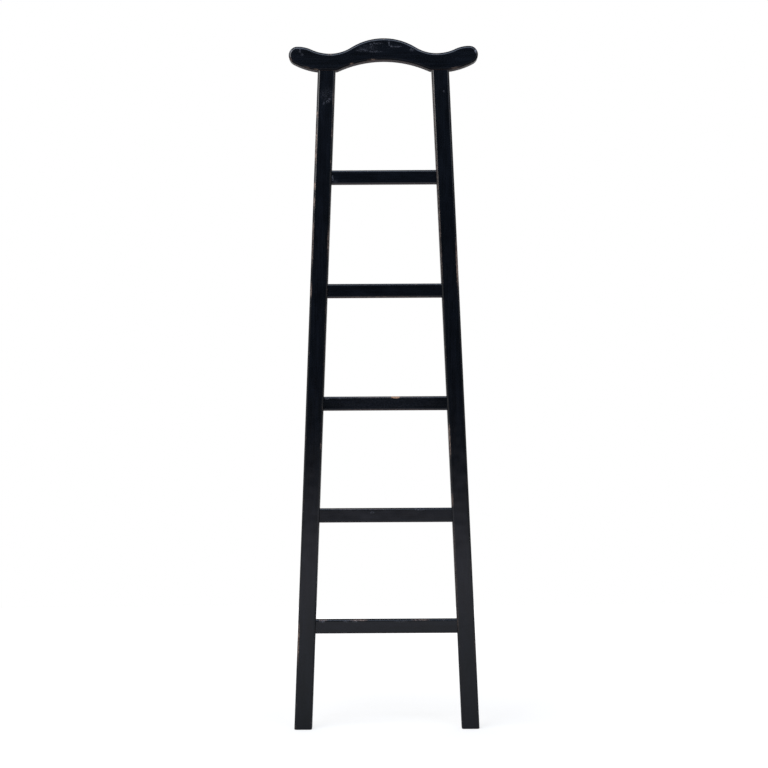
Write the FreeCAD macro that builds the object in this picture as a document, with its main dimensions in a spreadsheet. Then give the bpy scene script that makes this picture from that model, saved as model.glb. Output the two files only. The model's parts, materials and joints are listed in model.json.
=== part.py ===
import FreeCAD, Part
import math
import os
import Sketcher

# Ladder coat rack: two splayed stiles, five rungs and a yoke-shaped crest rail,
# all joined by mortise and tenon and locked with wooden pegs driven in from the back.
# X runs across the rack, Y from its front to its back, Z up. The origin is on the floor, midway
# between the feet. All sizes are millimetres.

RUNG_COUNT = 5

SIZES = {
    # Stiles: widths and spreads are measured level, spreads between the stiles' centre lines.
    "seat_height": 1745.0,
    "foot_spread": 444.0,
    "top_spread": 301.0,
    "stile_width": 47.0,
    "stile_depth": 38.0,
    "stile_edge_radius": 6.5,
    "foot_edge_radius": 2.5,
    # Rungs: heights are those of their centre lines. The middle rungs sit a little below even spacing.
    "bottom_rung_height": 272.2,
    "top_rung_drop": 282.0,
    "rung_settle": 4.6,
    "rung_height": 37.5,
    "rung_depth": 24.0,
    "rung_edge_radius": 5.0,
    # Crest rail: heights and rises are measured from its seat on the stiles, drops from the top of
    # its hump, insets inwards from its tips. A share says where an S-curve turns over between its
    # two ends. The belly leaves the stile at a slope in degrees.
    "crest_width": 501.6,
    "crest_height": 85.0,
    "crest_proud": 4.0,
    "valley_inset": 109.6,
    "valley_drop": 40.2,
    "lobe_inset": 24.7,
    "lobe_drop": 21.3,
    "hump_share": 0.606,
    "lobe_share": 0.416,
    "tip_rise": 17.9,
    "belly_slope": 8.1,
    "arch_height": 27.4,
    "seat_ease_radius": 16.0,
    "crest_edge_radius": 6.0,
    # Joints
    "rung_tenon_length": 28.0,
    "rung_tenon_height": 22.0,
    "rung_tenon_thickness": 10.0,
    "crest_tenon_height": 28.0,
    "crest_tenon_width": 26.0,
    "crest_tenon_thickness": 12.0,
    "joint_clearance": 0.1,
    "peg_side": 6.0,
    "peg_clearance": 0.05,
    "peg_cover": 6.0,
    "peg_inset": 0.3,
    "peg_chamfer": 1.0,
}

doc = FreeCAD.newDocument("ladder_coat_rack")
sheet = doc.addObject("Spreadsheet::Sheet", "Sizes")
for row, (alias, size) in enumerate(SIZES.items(), start=1):
    sheet.set(f"A{row}", alias)
    sheet.set(f"B{row}", str(size))
    sheet.setAlias(f"B{row}", alias)
doc.recompute()


# Formulas that several pieces share

def stile_centre(height):
    """Distance from the rack's middle to a stile's centre line at a height above the floor."""
    lean = f"(Sizes.foot_spread - Sizes.top_spread) / 2 * ({height}) / Sizes.seat_height"
    return f"(Sizes.foot_spread / 2 - {lean})"


def stile_inner_face(height):
    """Distance from the rack's middle to a stile's inner face, which a rung's shoulder meets."""
    return f"({stile_centre(height)} - Sizes.stile_width / 2)"


def rung_centre(number):
    """Height of a rung's centre line, counting rung 1 from the top."""
    way_up = (RUNG_COUNT - number) / (RUNG_COUNT - 1)
    sag = 4 * way_up * (1 - way_up)
    span = "(Sizes.seat_height - Sizes.top_rung_drop - Sizes.bottom_rung_height)"
    return f"(Sizes.bottom_rung_height + {way_up} * {span} - {sag} * Sizes.rung_settle)"


def rung_peg_across(number):
    """Distance from the rack's middle to the peg through a rung's tenon."""
    return f"({stile_inner_face(rung_centre(number))} + Sizes.rung_tenon_length / 2)"


RUNG_NUMBERS = range(1, RUNG_COUNT + 1)
STILE_HALF_DEPTH = "(Sizes.stile_depth / 2)"
CREST_HALF_DEPTH = "(Sizes.stile_depth / 2 + Sizes.crest_proud)"
SEAT_OUTER = "((Sizes.top_spread + Sizes.stile_width) / 2)"
SEAT_INNER = "((Sizes.top_spread - Sizes.stile_width) / 2)"
CREST_PEG_ACROSS = "(Sizes.top_spread / 2)"
CREST_PEG_UP = "(Sizes.seat_height + Sizes.crest_tenon_height / 2)"
PEG_HOLE_SIDE = "(Sizes.peg_side + 2 * Sizes.peg_clearance)"


# Sketches and features that several pieces share

# A sketch numbers its own upright axis and origin, and the points of each curve, in this order.
UP_AXIS, ORIGIN = range(-2, 0)
START, END, CENTRE = range(1, 4)
TOUCHING = 1e-3


def origin_plane(body, role):
    """Find one of a body's own origin planes."""
    return next(feature for feature in body.Origin.OriginFeatures if feature.Role == role)


def new_sketch(body, name):
    """Add a sketch on the body's upright plane, seen from the front: X across and Z up."""
    sketch = body.newObject("Sketcher::SketchObject", name)
    sketch.AttachmentSupport = [(origin_plane(body, "XZ_Plane"), "")]
    sketch.MapMode = "FlatFace"
    return sketch


def bind(sketch, name, formula, constraint):
    """Add a dimension to a sketch and tie it to a formula of sheet sizes."""
    index = sketch.addConstraint(constraint)
    sketch.renameConstraint(index, name)
    sketch.setExpression(f"Constraints.{name}", formula)


def bind_point(sketch, name, geometry, position, across=None, up=None):
    """Tie a point's distances from the origin to formulas, across, up or both."""
    point = sketch.getPoint(geometry, position)
    for kind, value, formula in (("DistanceX", point.x, across), ("DistanceY", point.y, up)):
        if formula is not None:
            constraint = Sketcher.Constraint(kind, ORIGIN, START, geometry, position, value)
            bind(sketch, f"{name}_{kind}", formula, constraint)


def add_polygon(sketch, name, corners):
    """Draw a closed outline through corners, each given by two formulas: across and up."""
    first = sketch.GeometryCount
    count = len(corners)
    start_circle = Part.Circle()
    points = start_circle.discretize(count + 1)[:count]
    for number in range(count):
        sketch.addGeometry(Part.LineSegment(points[number], points[(number + 1) % count]))
    for number in range(count):
        following = first + (number + 1) % count
        sketch.addConstraint(Sketcher.Constraint("Coincident", first + number, END, following, START))
    for number, (across, up) in enumerate(corners):
        bind_point(sketch, f"{name}_{number}", first + number, START, across, up)


def add_rectangle(sketch, name, left, right, bottom, top):
    """Draw a rectangle between four formulas."""
    add_polygon(sketch, name, [(left, bottom), (right, bottom), (right, top), (left, top)])


def add_square(sketch, name, across, up, side):
    """Draw a square whose centre and side are formulas."""
    half = f"{side} / 2"
    add_rectangle(sketch, name, f"{across} - {half}", f"{across} + {half}", f"{up} - {half}", f"{up} + {half}")


def extrude(body, kind, sketch, name, forward, backward):
    """Pad or pocket a sketch by one distance towards the front and another towards the back."""
    feature = body.newObject(f"PartDesign::{kind}", name)
    feature.Profile = sketch
    feature.SideType = "Two sides"
    along_normal, against_normal = (forward, backward) if kind == "Pad" else (backward, forward)
    feature.setExpression("Length", along_normal)
    feature.setExpression("Length2", against_normal)
    volume_before = 0 if body.Shape.isNull() else body.Shape.Volume
    doc.recompute()
    if (body.Shape.Volume > volume_before) != (kind == "Pad"):
        raise RuntimeError(f"{name} adds or cuts nothing")
    return feature


def round_edges(body, base, name, radius, chosen):
    """Round every edge of a feature that the chosen test picks."""
    fillet = body.newObject("PartDesign::Fillet", name)
    edges = [f"Edge{number}" for number, edge in enumerate(base.Shape.Edges, start=1) if chosen(edge)]
    fillet.Base = (base, edges)
    fillet.setExpression("Radius", radius)
    doc.recompute()
    return fillet


def is_upright(edge):
    """Tell whether an edge runs the whole height of a stile."""
    return edge.BoundBox.ZLength > SIZES["seat_height"] - TOUCHING


def is_level(edge):
    """Tell whether an edge runs straight across the rack."""
    return abs(edge.BoundBox.XLength - edge.Length) < TOUCHING


def is_on_floor(edge):
    """Tell whether an edge lies on the floor."""
    return edge.BoundBox.ZMax < TOUCHING


def is_face_outline(edge):
    """Tell whether an edge lies in a front or back face, and so at one depth."""
    return edge.BoundBox.YLength < TOUCHING


# Right stile: a straight bar leaning inwards, cut level at the floor and at the crest rail's seat.
# Its top ends in an upright tenon, and a level mortise takes each rung.

right_stile = doc.addObject("PartDesign::Body", "right_stile")
outline = new_sketch(right_stile, "stile_outline")
add_polygon(outline, "corner", [
    ("(Sizes.foot_spread - Sizes.stile_width) / 2", "0"),
    ("(Sizes.foot_spread + Sizes.stile_width) / 2", "0"),
    (SEAT_OUTER, "Sizes.seat_height"),
    (SEAT_INNER, "Sizes.seat_height"),
])
bar = extrude(right_stile, "Pad", outline, "stile_bar", STILE_HALF_DEPTH, STILE_HALF_DEPTH)
rounded_bar = round_edges(right_stile, bar, "stile_edges", "Sizes.stile_edge_radius", is_upright)
round_edges(right_stile, rounded_bar, "foot_edges", "Sizes.foot_edge_radius", is_on_floor)

tenon_outline = new_sketch(right_stile, "crest_tenon_outline")
add_rectangle(tenon_outline, "tenon",
              "(Sizes.top_spread - Sizes.crest_tenon_width) / 2",
              "(Sizes.top_spread + Sizes.crest_tenon_width) / 2",
              "Sizes.seat_height",
              "Sizes.seat_height + Sizes.crest_tenon_height")
tenon_half = "Sizes.crest_tenon_thickness / 2"
extrude(right_stile, "Pad", tenon_outline, "crest_tenon", tenon_half, tenon_half)

mortise_outlines = new_sketch(right_stile, "rung_mortise_outlines")
mortise_half_height = "(Sizes.rung_tenon_height / 2 + Sizes.joint_clearance)"
mortise_half_thickness = "Sizes.rung_tenon_thickness / 2 + Sizes.joint_clearance"
for number in RUNG_NUMBERS:
    shoulder = stile_inner_face(rung_centre(number))
    add_rectangle(mortise_outlines, f"mortise_{number}",
                  f"{shoulder} - Sizes.stile_edge_radius",
                  f"{shoulder} + Sizes.rung_tenon_length + Sizes.joint_clearance",
                  f"{rung_centre(number)} - {mortise_half_height}",
                  f"{rung_centre(number)} + {mortise_half_height}")
extrude(right_stile, "Pocket", mortise_outlines, "rung_mortises",
        mortise_half_thickness, mortise_half_thickness)

hole_outlines = new_sketch(right_stile, "rung_peg_hole_outlines")
for number in RUNG_NUMBERS:
    add_square(hole_outlines, f"hole_{number}",
               rung_peg_across(number), rung_centre(number), PEG_HOLE_SIDE)
extrude(right_stile, "Pocket", hole_outlines, "rung_peg_holes",
        f"{STILE_HALF_DEPTH} - Sizes.peg_cover", STILE_HALF_DEPTH)

tenon_hole_outline = new_sketch(right_stile, "crest_peg_hole_outline")
add_square(tenon_hole_outline, "hole", CREST_PEG_ACROSS, CREST_PEG_UP, PEG_HOLE_SIDE)
extrude(right_stile, "Pocket", tenon_hole_outline, "crest_peg_hole", tenon_half, tenon_half)

# Left stile: the right one's mirror image

left_stile = doc.addObject("Part::Mirroring", "left_stile")
left_stile.Source = right_stile
left_stile.Normal = FreeCAD.Vector(1, 0, 0)


# Rungs: rails with rounded edges, slanted shoulders that fit the stiles and a tenon on each end

def make_rung(number):
    """Build one rung in place."""
    body = doc.addObject("PartDesign::Body", f"rung_{number}")
    middle = rung_centre(number)
    bottom = f"({middle} - Sizes.rung_height / 2)"
    top = f"({middle} + Sizes.rung_height / 2)"
    half_depth = "Sizes.rung_depth / 2"
    rail_outline = new_sketch(body, f"rung_{number}_outline")
    add_polygon(rail_outline, "corner", [
        (f"-{stile_inner_face(bottom)}", bottom),
        (stile_inner_face(bottom), bottom),
        (stile_inner_face(top), top),
        (f"-{stile_inner_face(top)}", top),
    ])
    rail = extrude(body, "Pad", rail_outline, f"rung_{number}_rail", half_depth, half_depth)
    round_edges(body, rail, f"rung_{number}_edges", "Sizes.rung_edge_radius", is_level)

    tenon_outline = new_sketch(body, f"rung_{number}_tenon_outline")
    tenon_end = f"({stile_inner_face(middle)} + Sizes.rung_tenon_length)"
    half_thickness = "Sizes.rung_tenon_thickness / 2"
    add_rectangle(tenon_outline, "tenons", f"-{tenon_end}", tenon_end,
                  f"{middle} - Sizes.rung_tenon_height / 2",
                  f"{middle} + Sizes.rung_tenon_height / 2")
    extrude(body, "Pad", tenon_outline, f"rung_{number}_tenons", half_thickness, half_thickness)

    hole_outlines = new_sketch(body, f"rung_{number}_peg_hole_outlines")
    add_square(hole_outlines, "left_hole", f"-{rung_peg_across(number)}", middle, PEG_HOLE_SIDE)
    add_square(hole_outlines, "right_hole", rung_peg_across(number), middle, PEG_HOLE_SIDE)
    extrude(body, "Pocket", hole_outlines, f"rung_{number}_peg_holes", half_thickness, half_thickness)
    return body


rungs = [make_rung(number) for number in RUNG_NUMBERS]

# Crest rail: half of its outline is a chain of arcs, each tangent to the next, from the hump down
# into the valley, up over the end lobe, round the tip and along the belly to the flat seat on the
# stile. An arch runs back from the seat to the middle. The other half is its mirror image.

crest_rail = doc.addObject("PartDesign::Body", "crest_rail")

CREST_TOP = "(Sizes.seat_height + Sizes.crest_height)"
VALLEY_ACROSS = "(Sizes.crest_width / 2 - Sizes.valley_inset)"
LOBE_ACROSS = "(Sizes.crest_width / 2 - Sizes.lobe_inset)"
LOBE_STEP = "(Sizes.valley_inset - Sizes.lobe_inset)"
LOBE_RISE = "(Sizes.valley_drop - Sizes.lobe_drop)"
HUMP_RADII = f"(({VALLEY_ACROSS} ^ 2 + Sizes.valley_drop ^ 2) / (2 * Sizes.valley_drop))"
LOBE_RADII = f"(({LOBE_STEP} ^ 2 + {LOBE_RISE} ^ 2) / (2 * {LOBE_RISE}))"
LOBE_RADIUS = f"(Sizes.lobe_share * {LOBE_RADII})"
TIP_ABOVE_LOBE = f"(Sizes.tip_rise - Sizes.crest_height + Sizes.lobe_drop + {LOBE_RADIUS})"
TIP_SLACK = f"({TIP_ABOVE_LOBE} - Sizes.lobe_inset + {LOBE_RADIUS})"
TIP_EXCESS = f"({LOBE_RADIUS} ^ 2 - Sizes.lobe_inset ^ 2 - {TIP_ABOVE_LOBE} ^ 2)"
TIP_RADIUS = f"(sqrt({TIP_SLACK} ^ 2 + {TIP_EXCESS}) - {TIP_SLACK})"


def s_curve_radii(crown, dip):
    """Sum of the radii of two tangent arcs that leave a crown level and reach a dip level."""
    return (dip - crown).Length ** 2 / (2 * (crown.y - dip.y))


def s_curve(crown, dip, share):
    """Centres of such a pair of arcs, and where they meet, when the crown's has a share of the sum."""
    radii = s_curve_radii(crown, dip)
    crown_centre = crown - FreeCAD.Vector(0, share * radii)
    dip_centre = dip + FreeCAD.Vector(0, (1 - share) * radii)
    return crown_centre, crown + (dip - crown) * share, dip_centre


def corner_circle_radius(corner, radius):
    """Radius of a circle in the lower right corner of a frame, touching a larger one from inside.

    The corner is measured from the larger circle's centre.
    """
    slack = corner.y - corner.x + radius
    excess = radius ** 2 - corner.x ** 2 - corner.y ** 2
    return (slack ** 2 + excess) ** 0.5 - slack


def touching_point(centre, inner_centre, radius):
    """Where a circle is touched from inside by a smaller one."""
    return centre + (inner_centre - centre).normalize() * radius


def crest_arcs():
    """Centre, first end and last end of each arc of the half outline, in order."""
    seat_up = SIZES["seat_height"]
    top_up = seat_up + SIZES["crest_height"]
    half_width = SIZES["crest_width"] / 2
    crown = FreeCAD.Vector(0, top_up)
    dip = FreeCAD.Vector(half_width - SIZES["valley_inset"], top_up - SIZES["valley_drop"])
    lobe_peak = FreeCAD.Vector(half_width - SIZES["lobe_inset"], top_up - SIZES["lobe_drop"])
    seat_outer = FreeCAD.Vector((SIZES["top_spread"] + SIZES["stile_width"]) / 2, seat_up)
    seat_inner = FreeCAD.Vector((SIZES["top_spread"] - SIZES["stile_width"]) / 2, seat_up)
    arch_top = FreeCAD.Vector(0, seat_up + SIZES["arch_height"])

    hump_centre, hump_end, inner_centre = s_curve(crown, dip, SIZES["hump_share"])
    lobe_centre, lobe_start, outer_centre = s_curve(lobe_peak, dip, SIZES["lobe_share"])
    lobe_radius = lobe_peak.y - lobe_centre.y

    tip_corner = FreeCAD.Vector(half_width, seat_up + SIZES["tip_rise"])
    tip_radius = corner_circle_radius(tip_corner - lobe_centre, lobe_radius)
    tip_centre = tip_corner + FreeCAD.Vector(-tip_radius, tip_radius)
    tip_start = touching_point(lobe_centre, tip_centre, lobe_radius)

    ease_radius = SIZES["seat_ease_radius"]
    slope = math.radians(SIZES["belly_slope"])
    square_to_slope = FreeCAD.Vector(-math.sin(slope), math.cos(slope))
    outer_ease_centre = seat_outer + FreeCAD.Vector(0, ease_radius)
    belly_end = outer_ease_centre - square_to_slope * ease_radius
    tip_reach = tip_centre - belly_end
    tip_clear = tip_reach.dot(square_to_slope) - tip_radius
    belly_radius = (tip_reach.Length ** 2 - tip_radius ** 2) / (2 * tip_clear)
    belly_centre = belly_end + square_to_slope * belly_radius
    belly_start = touching_point(belly_centre, tip_centre, belly_radius)

    arch_share = 1 - ease_radius / s_curve_radii(arch_top, seat_inner)
    arch_centre, arch_start, inner_ease_centre = s_curve(arch_top, seat_inner, arch_share)
    return {
        "hump": (hump_centre, crown, hump_end),
        "inner_valley": (inner_centre, hump_end, dip),
        "outer_valley": (outer_centre, dip, lobe_start),
        "lobe": (lobe_centre, lobe_start, tip_start),
        "tip": (tip_centre, tip_start, belly_start),
        "belly": (belly_centre, belly_start, belly_end),
        "outer_ease": (outer_ease_centre, belly_end, seat_outer),
        "inner_ease": (inner_ease_centre, seat_inner, arch_start),
        "arch": (arch_centre, arch_start, arch_top),
    }


def add_arc(sketch, centre, first, last):
    """Draw an arc of less than half a turn; give its number and which of its ends are first and last."""
    radius = (first - centre).Length
    middle = centre + ((first + last) * 0.5 - centre).normalize() * radius
    geometry = sketch.addGeometry(Part.Arc(first, middle, last))
    to_start = sketch.getPoint(geometry, START).distanceToPoint(first)
    to_end = sketch.getPoint(geometry, END).distanceToPoint(first)
    if to_start < to_end:
        return geometry, START, END
    return geometry, END, START


def add_line(sketch, first, last):
    """Draw a line; give its number and which of its ends are first and last."""
    return sketch.addGeometry(Part.LineSegment(first, last)), START, END


crest_outline = new_sketch(crest_rail, "crest_half_outline")
arcs = crest_arcs()
drawn = {name: add_arc(crest_outline, *arc) for name, arc in arcs.items()}
drawn["seat"] = add_line(crest_outline, arcs["outer_ease"][2], arcs["inner_ease"][1])
drawn["middle"] = add_line(crest_outline, arcs["arch"][2], arcs["hump"][1])

smooth_chain = ["hump", "inner_valley", "outer_valley", "lobe", "tip", "belly",
                "outer_ease", "seat", "inner_ease", "arch"]
for before, after in zip(smooth_chain, smooth_chain[1:]):
    geometry, _, last = drawn[before]
    next_geometry, next_first, _ = drawn[after]
    crest_outline.addConstraint(Sketcher.Constraint("Tangent", geometry, last, next_geometry, next_first))
hump, hump_first, _ = drawn["hump"]
arch, _, arch_last = drawn["arch"]
middle, middle_first, middle_last = drawn["middle"]
crest_outline.addConstraint(Sketcher.Constraint("Coincident", arch, arch_last, middle, middle_first))
crest_outline.addConstraint(Sketcher.Constraint("Coincident", middle, middle_last, hump, hump_first))
for geometry, position in ((hump, hump_first), (hump, CENTRE), (arch, arch_last), (arch, CENTRE)):
    crest_outline.addConstraint(Sketcher.Constraint("PointOnObject", geometry, position, UP_AXIS))
valley, _, dip = drawn["inner_valley"]
crest_outline.addConstraint(Sketcher.Constraint("Vertical", valley, CENTRE, valley, dip))

bind_point(crest_outline, "crown", hump, hump_first, up=CREST_TOP)
bind_point(crest_outline, "dip", valley, dip, VALLEY_ACROSS, f"{CREST_TOP} - Sizes.valley_drop")
bind_point(crest_outline, "lobe_centre", drawn["lobe"][0], CENTRE,
           LOBE_ACROSS, f"{CREST_TOP} - Sizes.lobe_drop - {LOBE_RADIUS}")
bind_point(crest_outline, "tip_centre", drawn["tip"][0], CENTRE,
           across=f"Sizes.crest_width / 2 - {TIP_RADIUS}")
bind_point(crest_outline, "seat_outer", drawn["seat"][0], START, SEAT_OUTER, "Sizes.seat_height")
bind_point(crest_outline, "seat_inner", drawn["seat"][0], END, SEAT_INNER, "Sizes.seat_height")
bind_point(crest_outline, "arch_top", arch, arch_last, up="Sizes.seat_height + Sizes.arch_height")
belly, _, belly_last = drawn["belly"]
bind_point(crest_outline, "belly_end", belly, belly_last,
           across=f"{SEAT_OUTER} + Sizes.seat_ease_radius * sin(Sizes.belly_slope)")
for name, formula in (
    ("hump", f"Sizes.hump_share * {HUMP_RADII}"),
    ("lobe", LOBE_RADIUS),
    ("tip", TIP_RADIUS),
    ("outer_ease", "Sizes.seat_ease_radius"),
    ("inner_ease", "Sizes.seat_ease_radius"),
):
    centre, first, _ = arcs[name]
    radius = Sketcher.Constraint("Radius", drawn[name][0], (first - centre).Length)
    bind(crest_outline, f"{name}_radius", formula, radius)

half_crest = extrude(crest_rail, "Pad", crest_outline, "crest_half", CREST_HALF_DEPTH, CREST_HALF_DEPTH)
whole_crest = crest_rail.newObject("PartDesign::Mirrored", "crest_whole")
whole_crest.Originals = [half_crest]
whole_crest.MirrorPlane = (origin_plane(crest_rail, "YZ_Plane"), [""])
crest_rail.Tip = whole_crest
doc.recompute()
round_edges(crest_rail, whole_crest, "crest_edges", "Sizes.crest_edge_radius", is_face_outline)

mortise_outlines = new_sketch(crest_rail, "stile_mortise_outlines")
hole_outlines = new_sketch(crest_rail, "crest_peg_hole_outlines")
mortise_half_width = "(Sizes.crest_tenon_width / 2 + Sizes.joint_clearance)"
mortise_half_thickness = "Sizes.crest_tenon_thickness / 2 + Sizes.joint_clearance"
for side, sign in (("left", "-"), ("right", "")):
    add_rectangle(mortise_outlines, f"{side}_mortise",
                  f"{sign}{CREST_PEG_ACROSS} - {mortise_half_width}",
                  f"{sign}{CREST_PEG_ACROSS} + {mortise_half_width}",
                  "Sizes.seat_height - Sizes.crest_proud",
                  "Sizes.seat_height + Sizes.crest_tenon_height + Sizes.joint_clearance")
    add_square(hole_outlines, f"{side}_hole", f"{sign}{CREST_PEG_ACROSS}", CREST_PEG_UP, PEG_HOLE_SIDE)
extrude(crest_rail, "Pocket", mortise_outlines, "stile_mortises",
        mortise_half_thickness, mortise_half_thickness)
extrude(crest_rail, "Pocket", hole_outlines, "crest_peg_holes",
        f"{CREST_HALF_DEPTH} - Sizes.peg_cover", CREST_HALF_DEPTH)


# Pegs: square-cut wooden pins with a chamfered nose, just below flush at the back

def make_peg(name, across, up, half_depth):
    """Build one peg in place, through a piece of the given half depth."""
    body = doc.addObject("PartDesign::Body", name)
    outline = new_sketch(body, f"{name}_outline")
    add_square(outline, "shank", across, up, "Sizes.peg_side")
    pin = extrude(body, "Pad", outline, f"{name}_shank",
                  f"{half_depth} - Sizes.peg_cover", f"{half_depth} - Sizes.peg_inset")
    front = pin.Shape.BoundBox.YMin
    nose = body.newObject("PartDesign::Chamfer", f"{name}_nose")
    nose.Base = (pin, [f"Edge{number}" for number, edge in enumerate(pin.Shape.Edges, start=1)
                       if edge.BoundBox.YMax < front + TOUCHING])
    nose.setExpression("Size", "Sizes.peg_chamfer")
    doc.recompute()
    return body


pegs = []
for side, sign in (("left", "-"), ("right", "")):
    pegs.append(make_peg(f"crest_{side}_peg", f"{sign}{CREST_PEG_ACROSS}", CREST_PEG_UP, CREST_HALF_DEPTH))
    for number in RUNG_NUMBERS:
        pegs.append(make_peg(f"rung_{number}_{side}_peg", f"{sign}{rung_peg_across(number)}",
                             rung_centre(number), STILE_HALF_DEPTH))

# Check every object, then write each piece to its own file

pieces = [left_stile, right_stile, *rungs, crest_rail, *pegs]
doc.recompute()
for item in doc.Objects:
    if "Invalid" in item.State or "Error" in item.State:
        raise RuntimeError(f"{item.Label} did not build: {item.State}")
for piece in pieces:
    if piece.Shape.isNull() or not piece.Shape.isValid() or len(piece.Shape.Solids) != 1:
        raise RuntimeError(f"{piece.Label} is not one sound solid")

os.makedirs("parts", exist_ok=True)
for piece in pieces:
    piece.Shape.exportStep(f"parts/{piece.Label}.step")
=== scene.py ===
import json
import math

import bpy
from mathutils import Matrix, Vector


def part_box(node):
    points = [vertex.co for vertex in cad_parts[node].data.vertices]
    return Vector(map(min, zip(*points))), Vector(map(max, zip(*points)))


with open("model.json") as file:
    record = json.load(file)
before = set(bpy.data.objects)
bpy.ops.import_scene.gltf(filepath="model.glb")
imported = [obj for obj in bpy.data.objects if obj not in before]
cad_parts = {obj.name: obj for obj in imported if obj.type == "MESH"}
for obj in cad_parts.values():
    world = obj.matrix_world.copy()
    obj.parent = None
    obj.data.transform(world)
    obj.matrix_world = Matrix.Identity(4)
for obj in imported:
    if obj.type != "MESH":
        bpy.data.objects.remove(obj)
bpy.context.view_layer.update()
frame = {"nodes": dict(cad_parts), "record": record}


# Stiles: two straight bars of elm, splayed to the floor, with corners rounded over by hand plane.
# They are lacquered black over a red-brown ground, and years of handling have rubbed the corners.
# Each is cut level at the foot and ends in a tenon inside the crest rail.

def linear(colour):
    """Turn an sRGB hex value into linear red, green, blue and alpha."""
    channels = [int(colour[start:start + 2], 16) / 255 for start in (1, 3, 5)]
    return [c / 12.92 if c <= 0.04045 else ((c + 0.055) / 1.055) ** 2.4 for c in channels] + [1.0]


def add_node(tree, kind, links, **settings):
    """Add a node, set its properties, and fill its sockets with values or other nodes' outputs."""
    node = tree.nodes.new(kind)
    for name, value in settings.items():
        setattr(node, name, value)
    for socket, value in links.items():
        if isinstance(value, bpy.types.NodeSocket):
            tree.links.new(value, node.inputs[socket])
        else:
            node.inputs[socket].default_value = value
    return node.outputs


# A colour mix has its two colours on these sockets, and its result on this output.
MIX_FROM, MIX_TO, MIX_RESULT = 6, 7, 2

# Sizes and places on the rack are in millimetres, and Blender's unit is the metre.
PER_METRE = 1000

BLACK_LACQUER = linear("#070a0f")
HAZED_LACQUER = linear("#0f131a")
# Paler undersides take this colour, partly as a thin coat and partly as painted reflection of the floor.
# Soaked end grain takes it too.
THIN_LACQUER_AND_FLOOR_GLOW = linear("#5c5052")
RED_GROUND = linear("#58453f")
BARE_ELM = linear("#a58e7f")
FRESH_ELM = linear("#a27d62")
# Pale scuffs. The same colour also paints a few highlights and a wash of light.
PALE_SCUFF_AND_PAINTED_LIGHT = linear("#7b7e8a")
LACQUER_IOR = 1.5
LACQUER_SHINE = 0.5


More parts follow.
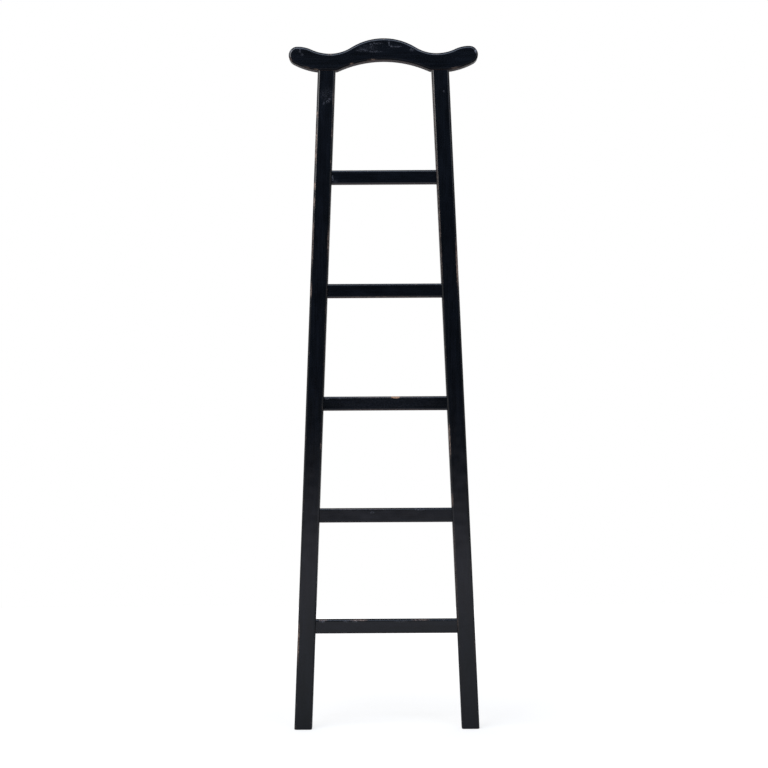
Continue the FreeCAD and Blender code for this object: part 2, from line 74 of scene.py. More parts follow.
def worn_black_lacquer(name, grain_mm, lean, paler_below_from, rubs=(), scuffs_and_painted_light=(), chips=(),
                       shine_below=LACQUER_SHINE, soaked=0.0):
    """Black lacquer brushed over a red-brown ground on elm, then rubbed by use.

    It gives the eye a deep blue-black with a soft gloss, faint grain under the film, cloudy
    patches, and paler wood and ground where the corners have been rubbed through. What faces down
    is painted paler and warmer, partly a thin coat with the ground showing and partly a painted
    reflection of the pale floor. grain_mm is how far one grain line runs along each axis, lean the
    grain's tilt from upright, and the third argument how steeply the surface faces down where that
    paler underside starts. Rubs are on corners only, the pale marks and chips anywhere: each is a
    place in millimetres, how far it reaches along the axes, and how strong it is. The pale marks are
    scuffs, and some are painted highlights and a painted wash of light. shine_below is the gloss of
    what faces down, and soaked the share of the thin coat that shows on end grain.
    """
    material = bpy.data.materials.new(name)
    material.use_nodes = True
    tree = material.node_tree
    tree.nodes.clear()
    coordinates = add_node(tree, "ShaderNodeTexCoord", {})
    place = coordinates["Object"]
    facing = add_node(tree, "ShaderNodeSeparateXYZ", {0: coordinates["Normal"]})

    # A corner is where the surface faces halfway between a broad face and a side. This reading is
    # 0 on both of those, and 0.5 halfway.
    forward = add_node(tree, "ShaderNodeMath", {0: facing["Y"]}, operation="ABSOLUTE")[0]
    squared = add_node(tree, "ShaderNodeMath", {0: forward, 1: forward}, operation="MULTIPLY")[0]
    remainder = add_node(tree, "ShaderNodeMath", {0: 1.0, 1: squared},
                         operation="SUBTRACT", use_clamp=True)[0]
    sideways = add_node(tree, "ShaderNodeMath", {0: remainder}, operation="SQRT")[0]
    turned = add_node(tree, "ShaderNodeMath", {0: forward, 1: sideways}, operation="MULTIPLY")[0]
    corner_from, corner_full = 0.12, 0.35
    on_corner = add_node(tree, "ShaderNodeMapRange",
                         {"Value": turned, "From Min": corner_from, "From Max": corner_full})[0]

    def along_grain(steps_mm, detail):
        """Noise whose blots measure so many millimetres along each axis, turned with the grain."""
        spot = add_node(tree, "ShaderNodeMapping", {
            "Vector": place,
            "Rotation": (0, lean, 0),
            "Scale": [PER_METRE / step for step in steps_mm],
        })[0]
        return add_node(tree, "ShaderNodeTexNoise",
                        {"Vector": spot, "Scale": 1.0, "Detail": detail, "Roughness": 0.6})["Fac"]

    # Grain lines run along the piece. Streaks of wear and clouds in the film are drawn out the same
    # way, the streaks shorter than the grain, and both are wider, so that they show.
    streak_share, streak_mm, cloud_mm, chip_mm = 1 / 2.5, 3.5, 18, 5
    grain = along_grain(grain_mm, detail=4.0)
    streak = along_grain([max(step * streak_share, streak_mm) for step in grain_mm], detail=3.0)
    cloud = along_grain([max(step, cloud_mm) for step in grain_mm], detail=3.0)
    chip = along_grain([chip_mm] * 3, detail=3.0)

    def patches(marks):
        """Soft spots, one for each place and reach, joined into one mask."""
        full_within = 0.4
        joined = None
        for centre, reach, strength in marks:
            offset = add_node(tree, "ShaderNodeVectorMath",
                              {0: place, 1: [c / PER_METRE for c in centre]}, operation="SUBTRACT")[0]
            share = add_node(tree, "ShaderNodeVectorMath",
                             {0: offset, 1: [r / PER_METRE for r in reach]}, operation="DIVIDE")[0]
            away = add_node(tree, "ShaderNodeVectorMath", {0: share}, operation="LENGTH")["Value"]
            spot = add_node(tree, "ShaderNodeMapRange",
                            {"Value": away, "From Min": 1.0, "From Max": full_within, "To Max": strength},
                            interpolation_type="SMOOTHSTEP")[0]
            if joined is None:
                joined = spot
            else:
                joined = add_node(tree, "ShaderNodeMath", {0: joined, 1: spot}, operation="MAXIMUM")[0]
        return joined

    # The film is a little cloudy all over, with faint lines where it sank into the grain.
    # Real grain is finer than a pixel from the camera, so these lines are drawn three times as large.
    drawn_larger = 3
    sunk = along_grain([drawn_larger * step for step in grain_mm], detail=2.0)
    cloudy = add_node(tree, "ShaderNodeMath", {0: cloud, 1: sunk}, operation="ADD")[0]
    haze_from, haze_full = 0.8, 1.3
    haze = add_node(tree, "ShaderNodeMapRange",
                    {"Value": cloudy, "From Min": haze_from, "From Max": haze_full})[0]

    # Dust has settled on what faces up, and dulled the gloss there.
    dust_from, dust_full = 0.75, 0.95
    dusty = add_node(tree, "ShaderNodeMapRange",
                     {"Value": facing["Z"], "From Min": dust_from, "From Max": dust_full})[0]
    haze = add_node(tree, "ShaderNodeMath", {0: haze, 1: dusty}, operation="MAXIMUM")[0]
    film = add_node(tree, "ShaderNodeMix", {0: haze, MIX_FROM: BLACK_LACQUER, MIX_TO: HAZED_LACQUER},
                    data_type="RGBA")[MIX_RESULT]
    if soaked:
        film = add_node(tree, "ShaderNodeMix", {0: soaked, MIX_FROM: film, MIX_TO: THIN_LACQUER_AND_FLOOR_GLOW},
                        data_type="RGBA")[MIX_RESULT]

    # Corners are rubbed a little, in broken streaks, unless they face down, where nothing touches
    # them. The named places are rubbed through.
    touch_from, touch_full, light_wear = -0.35, -0.1, 0.3
    touched = add_node(tree, "ShaderNodeMapRange", {
        "Value": facing["Z"], "From Min": touch_from, "From Max": touch_full, "To Max": light_wear,
    })[0]
    streak_from, streak_full = 0.60, 0.72
    wear = add_node(tree, "ShaderNodeMapRange", {
        "Value": streak, "From Min": streak_from, "From Max": streak_full, "To Max": touched,
    })[0]
    if rubs:
        gap_below, whole_above, left_in_gaps = 0.36, 0.54, 0.3
        broken = add_node(tree, "ShaderNodeMapRange", {
            "Value": streak, "From Min": gap_below, "From Max": whole_above, "To Min": left_in_gaps,
        })[0]
        through = add_node(tree, "ShaderNodeMath", {0: broken, 1: patches(rubs)}, operation="MULTIPLY")[0]
        wear = add_node(tree, "ShaderNodeMath", {0: wear, 1: through}, operation="MAXIMUM")[0]
    wear = add_node(tree, "ShaderNodeMath", {0: wear, 1: on_corner},
                    operation="MULTIPLY", use_clamp=True)[0]

    # Undersides are dull and painted paler and warmer. Part of it is a thin coat with the ground showing
    # through, and part is a painted reflection of the pale floor below.
    paler_below_full, paler_below_share = -0.98, 0.9
    thin_coat_and_floor_glow = add_node(tree, "ShaderNodeMapRange", {
        "Value": facing["Z"], "From Min": paler_below_from, "From Max": paler_below_full, "To Max": paler_below_share,
    })[0]
    film = add_node(tree, "ShaderNodeMix", {0: thin_coat_and_floor_glow, MIX_FROM: film, MIX_TO: THIN_LACQUER_AND_FLOOR_GLOW},
                    data_type="RGBA")[MIX_RESULT]

    # Where the film is gone the ground shows, and in flecks the wood under it.
    bare_from, bare_full = 0.42, 0.6
    bare = add_node(tree, "ShaderNodeMapRange",
                    {"Value": chip, "From Min": bare_from, "From Max": bare_full})[0]
    under = add_node(tree, "ShaderNodeMix", {0: bare, MIX_FROM: RED_GROUND, MIX_TO: BARE_ELM},
                     data_type="RGBA")[MIX_RESULT]
    colour = add_node(tree, "ShaderNodeMix", {0: wear, MIX_FROM: film, MIX_TO: under},
                      data_type="RGBA")[MIX_RESULT]
    dull = wear
    if chips:
        # Noise makes the outline of a chip ragged. It averages a half, and is raised to average one.
        raised_by, flake_from, flake_full = 0.5, 0.3, 0.5
        uneven = add_node(tree, "ShaderNodeMath", {0: chip, 1: raised_by}, operation="ADD")[0]
        ragged = add_node(tree, "ShaderNodeMath", {0: patches(chips), 1: uneven}, operation="MULTIPLY")[0]
        flaked = add_node(tree, "ShaderNodeMapRange",
                          {"Value": ragged, "From Min": flake_from, "From Max": flake_full})[0]
        colour = add_node(tree, "ShaderNodeMix", {0: flaked, MIX_FROM: colour, MIX_TO: FRESH_ELM},
                          data_type="RGBA")[MIX_RESULT]
        dull = add_node(tree, "ShaderNodeMath", {0: dull, 1: flaked}, operation="MAXIMUM")[0]
    if scuffs_and_painted_light:
        # Scuffs are pale smears broken up into flecks. A few marks drawn this way are painted highlights
        # and painted light instead.
        fleck_mm, fleck_from, fleck_full, between_flecks = 4, 0.44, 0.58, 0.1
        fleck = along_grain([fleck_mm] * 3, detail=3.0)
        smear = add_node(tree, "ShaderNodeMapRange", {
            "Value": fleck, "From Min": fleck_from, "From Max": fleck_full, "To Min": between_flecks,
        })[0]
        scuff_and_painted_light = add_node(tree, "ShaderNodeMath", {0: smear, 1: patches(scuffs_and_painted_light)}, operation="MULTIPLY")[0]
        colour = add_node(tree, "ShaderNodeMix", {0: scuff_and_painted_light, MIX_FROM: colour, MIX_TO: PALE_SCUFF_AND_PAINTED_LIGHT},
                          data_type="RGBA")[MIX_RESULT]
        dull = add_node(tree, "ShaderNodeMath", {0: dull, 1: scuff_and_painted_light}, operation="MAXIMUM")[0]

    # Grain dulls the gloss in fine lines. Worn, thinly coated and dusty places are matt.
    grain_low, grain_high, glossiest, least_glossy, matt_by = 0.3, 0.7, 0.10, 0.16, 0.4
    sheen = add_node(tree, "ShaderNodeMapRange", {
        "Value": grain,
        "From Min": grain_low, "From Max": grain_high,
        "To Min": glossiest, "To Max": least_glossy,
    })[0]
    for patch in (thin_coat_and_floor_glow, dusty):
        dull = add_node(tree, "ShaderNodeMath", {0: dull, 1: patch}, operation="MAXIMUM")[0]
    matt = add_node(tree, "ShaderNodeMath", {0: dull, 1: matt_by}, operation="MULTIPLY")[0]
    roughness = add_node(tree, "ShaderNodeMath", {0: sheen, 1: matt}, operation="ADD", use_clamp=True)[0]

    # The bars were planed by hand, so the broad faces are not quite flat, and the film follows the
    # grain.
    plane_mm, plane_deep_mm, grain_deep_mm, grain_share = 50, 0.4, 0.05, 0.4
    planed = along_grain([plane_mm] * 3, detail=1.0)
    wavy = add_node(tree, "ShaderNodeBump",
                    {"Height": planed, "Strength": 1.0, "Distance": plane_deep_mm / PER_METRE})[0]
    film_bump = add_node(tree, "ShaderNodeBump", {
        "Height": grain, "Strength": grain_share, "Distance": grain_deep_mm / PER_METRE, "Normal": wavy,
    })[0]

    # The film's shine is even, unless the piece has less of it below.
    shine = LACQUER_SHINE
    if shine_below != LACQUER_SHINE:
        below_from, below_full = -0.05, -0.3
        shine = add_node(tree, "ShaderNodeMapRange", {
            "Value": facing["Z"],
            "From Min": below_from, "From Max": below_full,
            "To Min": LACQUER_SHINE, "To Max": shine_below,
        })[0]
    surface = add_node(tree, "ShaderNodeBsdfPrincipled", {
        "Base Color": colour,
        "Roughness": roughness,
        "IOR": LACQUER_IOR,
        "Specular IOR Level": shine,
        "Normal": film_bump,
    })[0]
    add_node(tree, "ShaderNodeOutputMaterial", {"Surface": surface})
    return material


nodes = frame["nodes"]


def dress(node_name, material):
    """Give a carried-over solid its finish."""
    piece = nodes[node_name]
    piece.data.materials.clear()
    piece.data.materials.append(material)


# A line of elm's grain is this wide and this long.
GRAIN_WIDE, GRAIN_LONG = 1.6, 55
STILE_GRAIN = (GRAIN_WIDE, GRAIN_WIDE, GRAIN_LONG)
STILE_PALER_BELOW_FROM = -0.8
stile_low, stile_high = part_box("right_stile")
STILE_FRONT, STILE_BACK = stile_low[1] * PER_METRE, stile_high[1] * PER_METRE

# A stile's centre line runs from the middle of its sole to the middle of its top, which is at the
# crest rail's underside and straight below a crest peg.
mounts = {mount["name"]: mount["pos_m"] for mount in frame["record"]["mounts"]}
STILE_AT_FLOOR = mounts["right_foot_sole"][0] * PER_METRE
peg_low, peg_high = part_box("crest_right_peg")
STILE_AT_CREST = (peg_low[0] + peg_high[0]) / 2 * PER_METRE
crest_low, crest_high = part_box("crest_rail")
CREST_UNDERSIDE = crest_low[2] * PER_METRE
STILE_LEANS_IN = STILE_AT_FLOOR - STILE_AT_CREST
STILE_LEAN = math.atan2(STILE_LEANS_IN, CREST_UNDERSIDE)

# Wear on a corner is centred this far outward from the stile's centre line.
OUTER, INNER = 21, -21
LEFT, RIGHT = -1, 1
RUB_WIDE, RUB_DEEP = 8, 14
FRONT_MARK_DEEP = 9


def on_stile(side, height, outward, depth=STILE_FRONT):
    """A place on a stile: how high it is, and how far outward from the stile's centre line."""
    return side * (STILE_AT_FLOOR - STILE_LEANS_IN * height / CREST_UNDERSIDE + outward), depth, height


def corner_rub(side, corner, height, reach, strength, depth=STILE_FRONT):
    """A stretch of a stile's corner that is rubbed through, as far up and down as it reaches."""
    return on_stile(side, height, corner, depth), (RUB_WIDE, RUB_DEEP, reach), strength


def front_mark(side, outward, height, wide, tall, strength):
    """A small mark on a stile's front face, or on the front part of a corner."""
    return on_stile(side, height, outward), (wide, FRONT_MARK_DEEP, tall), strength


dress("left_stile", worn_black_lacquer(
    "left_stile_lacquer", STILE_GRAIN, lean=-STILE_LEAN, paler_below_from=STILE_PALER_BELOW_FROM,
    rubs=[
        front_mark(LEFT, 20, 1629, 8, 11, 0.8),
        corner_rub(LEFT, OUTER, 1545, 66, 0.8),
        corner_rub(LEFT, OUTER, 1440, 14, 1.0),
        corner_rub(LEFT, OUTER, 1394, 20, 0.7),
        corner_rub(LEFT, OUTER, 1330, 20, 0.6),
        corner_rub(LEFT, OUTER, 1290, 75, 0.3),
        corner_rub(LEFT, OUTER, 1165, 24, 0.5),
        corner_rub(LEFT, OUTER, 232, 75, 0.7),
        corner_rub(LEFT, INNER, 1672, 32, 0.2),
        corner_rub(LEFT, INNER, 1580, 16, 0.35),
        corner_rub(LEFT, INNER, 1290, 50, 0.4),
        corner_rub(LEFT, INNER, 751, 12, 0.4),
        corner_rub(LEFT, OUTER, 1490, 60, 0.7, STILE_BACK),
        corner_rub(LEFT, INNER, 1040, 30, 0.5, STILE_BACK),
        corner_rub(LEFT, OUTER, 330, 45, 0.5, STILE_BACK),
    ],
    scuffs_and_painted_light=[
        front_mark(LEFT, -4, 1680, 24, 26, 0.06),
        front_mark(LEFT, -14, 1687, 7, 7, 0.08),
        front_mark(LEFT, -10.4, 1670.5, 5, 6, 0.2),
        front_mark(LEFT, -5.5, 1662.5, 7, 7, 0.2),
        front_mark(LEFT, 3.7, 1658.6, 6, 6, 0.12),
    ],
))

# The right stile's inner corner is rubbed faintly along two long stretches.
FAINT_STEP, FAINT_REACH = 90, 75
dress("right_stile", worn_black_lacquer(
    "right_stile_lacquer", STILE_GRAIN, lean=STILE_LEAN, paler_below_from=STILE_PALER_BELOW_FROM,
    rubs=[
        corner_rub(RIGHT, OUTER, 1235, 80, 0.85),
        corner_rub(RIGHT, INNER, 764, 60, 0.6),
        corner_rub(RIGHT, INNER, 607, 22, 0.45),
        corner_rub(RIGHT, INNER, 1364, 14, 0.4),
        corner_rub(RIGHT, OUTER, 215, 60, 0.15),
        *[corner_rub(RIGHT, INNER, height, FAINT_REACH, 0.2) for height in range(1240, 1720, FAINT_STEP)],
        *[corner_rub(RIGHT, INNER, height, FAINT_REACH, 0.15) for height in range(310, 500, FAINT_STEP)],
        corner_rub(RIGHT, OUTER, 1400, 40, 0.6, STILE_BACK),
        corner_rub(RIGHT, OUTER, 900, 50, 0.5, STILE_BACK),
        corner_rub(RIGHT, INNER, 480, 30, 0.5, STILE_BACK),
    ],
    scuffs_and_painted_light=[front_mark(RIGHT, 7, 1688, 4, 5, 0.15)],
))


# Rungs: five level bars of the same lacquered elm with well-rounded edges, tenoned into the stiles.
# Hangers and folded coats have worn their edges, the lower ones mostly along the top.

RUNG_GRAIN = (GRAIN_LONG, GRAIN_WIDE, GRAIN_WIDE)
# From this facing down, a rung's lower edge is painted paler: partly thin coat, partly painted reflection
# of the floor.
RUNG_PALER_BELOW_FROM = -0.3
RUNG_MARK_DEEP = 12

# A mark is a place across and up from the middle of the rung's front face, how far it reaches
# across and up, and how strong it is.
RUNG_MARKS = {
    1: {
        "scuffs_and_painted_light": [
            ((-136, -2), (4, 10), 0.35),
            ((-128, -11), (8, 6), 0.08),
        ],
    },
    2: {
        "rubs": [((0, -17.5), (165, 5), 0.25)],
    },
    3: {
        "rubs": [
            ((0, 18), (160, 5), 0.25),
            ((0, -17.5), (165, 5), 0.25),
        ],
        "scuffs_and_painted_light": [
            # A faint pale wash over the whole face is painted light that brightens it.
            ((0, 0), (190, 22), 0.03),
            ((-154, 14.5), (7, 4.5), 0.35),
            ((-119, 15), (7, 4.5), 0.3),
            # These two long pale streaks along the top edge are a painted highlight on its rounding.
            ((-60, 14), (130, 4), 0.09),
            ((75, 14), (75, 4), 0.08),
        ],
        "chips": [((27.5, 17), (16, 5), 1.0)],
    },
    4: {
        "rubs": [((-70, 18), (120, 5), 0.15)],
        "scuffs_and_painted_light": [
            ((90, 16), (18, 5), 0.25),
            ((-36.5, 8), (10, 3.5), 0.2),
        ],
    },
    5: {
        "rubs": [
            ((-169, 18), (15, 5), 0.7),
            ((-72, 17), (28, 6), 0.6),
            ((91, 17.5), (30, 6), 0.45),
        ],
        "scuffs_and_painted_light": [
            ((-169, 14.5), (11, 5), 0.35),
            ((-107, 14), (10, 4), 0.2),
            ((-83, 13.5), (11, 4), 0.25),
            ((38, 13), (22, 3.5), 0.15),
        ],
    },
}


def on_face(marks, face, deep, middle=0.0):
    """Marks set on a face at its depth, raised to its middle, and reaching so deep round its edges."""
    return [((across, face, middle + up), (wide, deep, tall), strength)
            for (across, up), (wide, tall), strength in marks]


for number, marks in RUNG_MARKS.items():
    low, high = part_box(f"rung_{number}")
    front = low[1] * PER_METRE
    middle = (low[2] + high[2]) / 2 * PER_METRE
    placed = {kind: on_face(places, front, RUNG_MARK_DEEP, middle) for kind, places in marks.items()}
    dress(f"rung_{number}", worn_black_lacquer(
        f"rung_{number}_lacquer", RUNG_GRAIN, lean=0.0, paler_below_from=RUNG_PALER_BELOW_FROM, **placed))


# Crest rail: a yoke sawn from one elm board, with its edges rounded over by rasp and scraper.
# It is lacquered with the rest and drops onto the stiles' tenons.

CREST_GRAIN = (GRAIN_LONG, GRAIN_WIDE, GRAIN_WIDE)
CREST_PALER_BELOW_FROM = -0.8
CREST_SHINE_BELOW = 0.1
CREST_FRONT, CREST_BACK = crest_low[1] * PER_METRE, crest_high[1] * PER_METRE

# Marks are as on the rungs, but measured from the rack's middle and the floor.
CREST_RUB_DEEP = 30
CREST_RUBS = [
    ((-83, 1761), (8, 5), 1.0),
    ((-28, 1770.5), (18, 5), 0.9),
    ((-207, 1752), (18, 5), 0.3),
    ((-181, 1746), (14, 5), 0.4),
    ((203, 1749), (34, 6), 0.35),
    ((221, 1754), (6, 5), 0.7),
    ((-141, 1786), (10, 4), 0.3),
    ((139, 1785), (16, 4), 0.3),
    ((2, 1827), (4, 5), 0.5),
    ((-246, 1772), (7, 12), 0.35),
]
# The wall that the rack leans on has rubbed the top of the back.
CREST_BACK_RUB_DEEP = 14
CREST_BACK_RUBS = [
    ((8, 1826), (40, 7), 0.6),
    ((-222, 1803), (24, 7), 0.5),
    ((214, 1803), (18, 7), 0.4),
]
CREST_SCUFF_AND_HIGHLIGHT_DEEP = 8
CREST_SCUFFS_AND_HIGHLIGHTS = [
    ((-45, 1803), (38, 13), 0.05),
    ((-32, 1809.5), (7, 8), 0.2),
    ((-55, 1798), (22, 5), 0.15),
    ((-21, 1794), (26, 4), 0.12),
    ((-16, 1815.5), (20, 4), 0.15),
    ((14.3, 1820), (3, 6), 0.25),
    ((15.6, 1813.5), (3, 6), 0.25),
    ((21.7, 1808), (6, 4), 0.25),
    ((36, 1807), (18, 3), 0.15),
    ((76, 1798), (8, 6), 0.18),
    ((-220, 1803.5), (14, 4), 0.25),
    ((-220.6, 1796), (4, 6), 0.2),
    ((-215, 1787), (5, 4), 0.15),
    ((234, 1762), (6, 5), 0.2),
    # The last three are painted highlights: the bright streaks along the rounded ends, drawn as pale
    # scuffs.
    ((-243, 1797.5), (4, 4), 1.0),
    ((-247, 1791), (3, 13), 0.3),
    ((244.5, 1795), (4, 8), 0.9),
]
dress("crest_rail", worn_black_lacquer(
    "crest_lacquer", CREST_GRAIN, lean=0.0, paler_below_from=CREST_PALER_BELOW_FROM,
    rubs=on_face(CREST_RUBS, CREST_FRONT, CREST_RUB_DEEP)
    + on_face(CREST_BACK_RUBS, CREST_BACK, CREST_BACK_RUB_DEEP),
    scuffs_and_painted_light=on_face(CREST_SCUFFS_AND_HIGHLIGHTS, CREST_FRONT, CREST_SCUFF_AND_HIGHLIGHT_DEEP),
    shine_below=CREST_SHINE_BELOW,
))


# Pegs: square pins split from the same elm, driven through the tenons from the back and
# lacquered over with the rails, so that only a faint square shows.

PEG_GRAIN = (GRAIN_WIDE, GRAIN_LONG, GRAIN_WIDE)
PEG_PALER_BELOW_FROM = -0.8
PEG_SOAKED = 0.4
peg_lacquer = worn_black_lacquer("peg_lacquer", PEG_GRAIN, lean=0.0, paler_below_from=PEG_PALER_BELOW_FROM,
                                 soaked=PEG_SOAKED)
for name in nodes:
    if name.endswith("_peg"):
        dress(name, peg_lacquer)


# Floor: plain white paper run out towards the camera, which the lower half reflects.
# It takes the rack's shadow.

def white_paper(name):
    """Matt white paper: it looks white to the eye, shows in reflections, and takes a shadow."""
    material = bpy.data.materials.new(name)
    material.use_nodes = True
    tree = material.node_tree
    tree.nodes.clear()
    place = add_node(tree, "ShaderNodeTexCoord", {})["Object"]
    away = add_node(tree, "ShaderNodeVectorMath", {0: place}, operation="LENGTH")["Value"]
    path = add_node(tree, "ShaderNodeLightPath", {})

    # The lamps light the paper by the rack. Away from them it glows up to plain white for the eye.
    # Distances are in metres.
    lit_within, white_beyond, glow_where_lit = 0.4, 2.5, 0.7
    to_eye = add_node(tree, "ShaderNodeMapRange", {
        "Value": away, "From Min": lit_within, "From Max": white_beyond, "To Min": glow_where_lit,
    })[0]
    direct = add_node(tree, "ShaderNodeMath", {0: path["Is Camera Ray"], 1: to_eye},
                      operation="MULTIPLY")[0]

    # In reflections it is brightest in mid-room and dims towards the far end.
    dim_within, brightest_at, dark_beyond = 2.0, 5.0, 12.0
    dimmest, brightest = 0.09, 0.57
    rising = add_node(tree, "ShaderNodeMapRange", {
        "Value": away,
        "From Min": dim_within, "From Max": brightest_at,
        "To Min": dimmest, "To Max": brightest,
    })[0]
    fading = add_node(tree, "ShaderNodeMapRange", {
        "Value": away,
        "From Min": brightest_at, "From Max": dark_beyond,
        "To Min": 1.0, "To Max": 0.0,
    })[0]
    to_gloss = add_node(tree, "ShaderNodeMath", {0: rising, 1: fading}, operation="MULTIPLY")[0]

    # Only the paper in front of the rack shows there.
    behind, in_front = 0.5, -1.0
    back_to_front = add_node(tree, "ShaderNodeSeparateXYZ", {0: place})["Y"]
    forward = add_node(tree, "ShaderNodeMapRange",
                       {"Value": back_to_front, "From Min": behind, "From Max": in_front})[0]
    to_gloss = add_node(tree, "ShaderNodeMath", {0: to_gloss, 1: forward}, operation="MULTIPLY")[0]
    mirrored = add_node(tree, "ShaderNodeMath",
                        {0: path["Is Glossy Ray"], 1: path["Is Transmission Ray"]}, operation="MAXIMUM")[0]
    mirrored = add_node(tree, "ShaderNodeMath", {0: mirrored, 1: to_gloss}, operation="MULTIPLY")[0]
    white = add_node(tree, "ShaderNodeEmission", {"Color": linear("#ffffff"), "Strength": direct})[0]
    cool = add_node(tree, "ShaderNodeEmission", {"Color": linear("#efecff"), "Strength": mirrored})[0]
    glow = add_node(tree, "ShaderNodeAddShader", {0: white, 1: cool})[0]
    paper = add_node(tree, "ShaderNodeBsdfDiffuse", {"Color": linear("#a5a5a5")})[0]
    both = add_node(tree, "ShaderNodeAddShader", {0: glow, 1: paper})[0]
    add_node(tree, "ShaderNodeOutputMaterial", {"Surface": both})
    return material


PAPER_FRONT, PAPER_BACK, PAPER_HALF_WIDTH = -18.0, 3.0, 6.0
floor_mesh = bpy.data.meshes.new("floor")
floor_mesh.from_pydata(
    [(-PAPER_HALF_WIDTH, PAPER_FRONT, 0), (PAPER_HALF_WIDTH, PAPER_FRONT, 0),
     (PAPER_HALF_WIDTH, PAPER_BACK, 0), (-PAPER_HALF_WIDTH, PAPER_BACK, 0)],
    [], [(0, 1, 2, 3)])
floor = bpy.data.objects.new("floor", floor_mesh)
floor_mesh.materials.append(white_paper("white_paper"))
bpy.context.scene.collection.objects.link(floor)


# World: plain white to the eye, and in reflections a dark studio with pale walls at the far back
# and at the sides. It gives the object a soft fill.

world = bpy.data.worlds.new("studio")
world.use_nodes = True
bpy.context.scene.world = world
tree = world.node_tree
tree.nodes.clear()
direction = add_node(tree, "ShaderNodeTexCoord", {})["Generated"]
along = add_node(tree, "ShaderNodeSeparateXYZ", {0: direction})

# The back wall is a little paler below the eye's level than above it. Where a wall or a window
# starts and ends is told by the part of a direction that runs along an axis.
BELOW_LEVEL, ABOVE_LEVEL = -0.05, 0.05
PALE_BELOW, PALE_ABOVE = 0.35, 0.25
back_wall = add_node(tree, "ShaderNodeMapRange", {
    "Value": along["Z"],
    "From Min": BELOW_LEVEL, "From Max": ABOVE_LEVEL,
    "To Min": PALE_BELOW, "To Max": PALE_ABOVE,
})[0]
BACK_WALL_FROM, BACK_WALL_FULL = 0.6, 0.95
DARK_STUDIO = 0.012
wall = add_node(tree, "ShaderNodeMapRange", {
    "Value": along["Y"],
    "From Min": BACK_WALL_FROM, "From Max": BACK_WALL_FULL,
    "To Min": DARK_STUDIO, "To Max": back_wall,
}, interpolation_type="SMOOTHSTEP")[0]

# Each side wall starts at one sideways direction, is palest at another, and has its own paleness.
SIDE_WALLS = ((-0.3, -0.9, 0.5), (0.3, 0.9, 0.3))
for starts, palest, paleness in SIDE_WALLS:
    side_wall = add_node(tree, "ShaderNodeMapRange", {
        "Value": along["X"], "From Min": starts, "From Max": palest, "To Max": paleness,
    })[0]
    wall = add_node(tree, "ShaderNodeMath", {0: wall, 1: side_wall}, operation="MAXIMUM")[0]

# Two tall windows behind show only in reflections, as lines along the rounded edges of the back.
# Each of their edges is a soft step from outside to inside, along one reading of the direction.
WINDOW_GLOW = 1.5
path = add_node(tree, "ShaderNodeLightPath", {})
outward = add_node(tree, "ShaderNodeMath", {0: along["X"]}, operation="ABSOLUTE")[0]
window_edges = (
    (outward, 0.25, 0.35),
    (outward, 0.75, 0.65),
    (along["Y"], 0.2, 0.4),
    (along["Z"], -0.45, -0.35),
    (along["Z"], 0.7, 0.5),
)
window = path["Is Glossy Ray"]
for reading, outside, inside in window_edges:
    within = add_node(tree, "ShaderNodeMapRange",
                      {"Value": reading, "From Min": outside, "From Max": inside})[0]
    window = add_node(tree, "ShaderNodeMath", {0: window, 1: within}, operation="MULTIPLY")[0]
window = add_node(tree, "ShaderNodeMath", {0: window, 1: WINDOW_GLOW}, operation="MULTIPLY")[0]
wall = add_node(tree, "ShaderNodeMath", {0: wall, 1: window}, operation="MAXIMUM")[0]

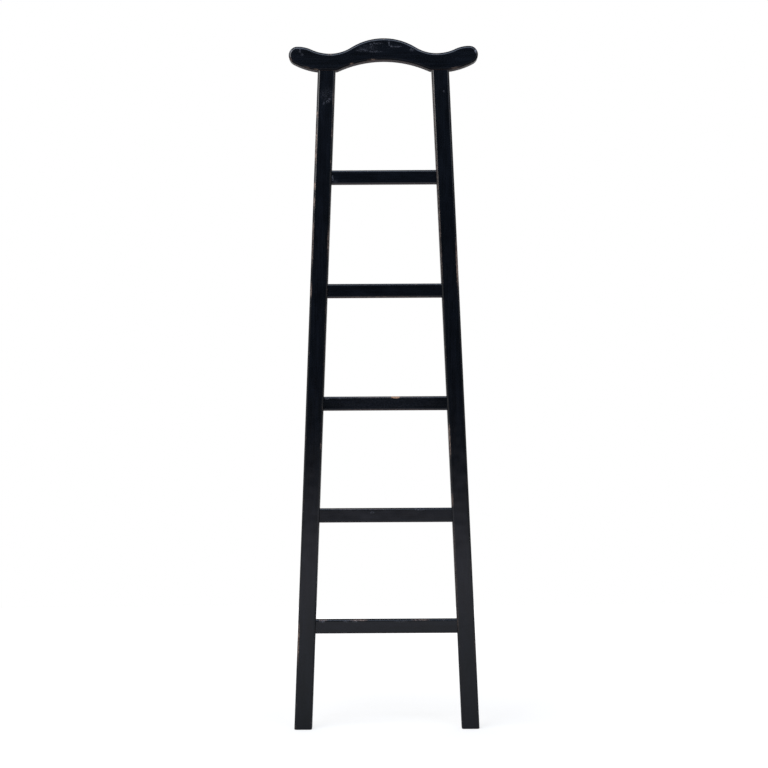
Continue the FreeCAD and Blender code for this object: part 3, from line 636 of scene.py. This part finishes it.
# The fill is fullest from behind, where no lamp reaches.
FULLER_FROM, FULLEST_AT = 0.1, 0.8
FILL_IN_FRONT, FILL_BEHIND = 0.3, 1.0
fullness = add_node(tree, "ShaderNodeMapRange", {
    "Value": along["Y"],
    "From Min": FULLER_FROM, "From Max": FULLEST_AT,
    "To Min": FILL_IN_FRONT, "To Max": FILL_BEHIND,
})[0]
fill = add_node(tree, "ShaderNodeMath", {0: path["Is Diffuse Ray"], 1: fullness}, operation="MULTIPLY")[0]
strength = add_node(tree, "ShaderNodeMath", {0: path["Is Camera Ray"], 1: wall}, operation="MAXIMUM")[0]
strength = add_node(tree, "ShaderNodeMath", {0: strength, 1: fill}, operation="MAXIMUM")[0]
background = add_node(tree, "ShaderNodeBackground", {"Color": linear("#ffffff"), "Strength": strength})[0]
add_node(tree, "ShaderNodeOutputWorld", {"Surface": background})


# Lamps: a broad softbox on the left, a narrow, weaker one on the right and one overhead.
# All hang in front of the rack, the left one white and the other two a little blue.

def softbox(name, place, target, width, height, radiance, colour):
    """Hang a soft lamp that faces a target and glows with a radiance of its own."""
    lamp = bpy.data.lights.new(name, "AREA")
    lamp.shape = "RECTANGLE"
    lamp.size = width
    lamp.size_y = height
    lamp.energy = radiance * math.pi * width * height
    lamp.color = linear(colour)[:3]
    holder = bpy.data.objects.new(name, lamp)
    holder.location = place
    toward = [t - p for t, p in zip(target, place)]
    tilt = math.atan2(math.hypot(toward[0], toward[1]), -toward[2])
    turn = math.atan2(toward[1], toward[0]) - math.pi / 2
    holder.rotation_euler = (tilt, 0, turn)
    bpy.context.scene.collection.objects.link(holder)


softbox("left_softbox", place=(-2.3, -2.8, 3.0), target=(0, 0, 1.5),
        width=3.2, height=2.4, radiance=3.6, colour="#ffffff")
softbox("right_softbox", place=(1.9, -3.0, 2.9), target=(0, 0, 1.5),
        width=1.2, height=2.2, radiance=1.4, colour="#e4eeff")
softbox("top_softbox", place=(0, -1.95, 3.47), target=(0, 0, 1.4),
        width=2.4, height=2.0, radiance=3.2, colour="#d6e6ff")


# Camera: level with the rack's middle, square on, with a long lens.
# It is rolled a little, because the rack stands so in the photograph.

SENSOR_MM, LENS_MM = 36, 97.08
CAMERA_PLACE = (-0.0029, -5.5, 0.9146)
CAMERA_ROLL = math.radians(0.3057)
LEVEL = math.radians(90)
camera = bpy.data.cameras.new("camera")
camera.sensor_width = SENSOR_MM
camera.lens = LENS_MM
viewer = bpy.data.objects.new("camera", camera)
viewer.location = CAMERA_PLACE
viewer.rotation_euler = (LEVEL, CAMERA_ROLL, 0)
bpy.context.scene.collection.objects.link(viewer)
bpy.context.scene.camera = viewer
bpy.context.scene.view_settings.view_transform = "Standard"
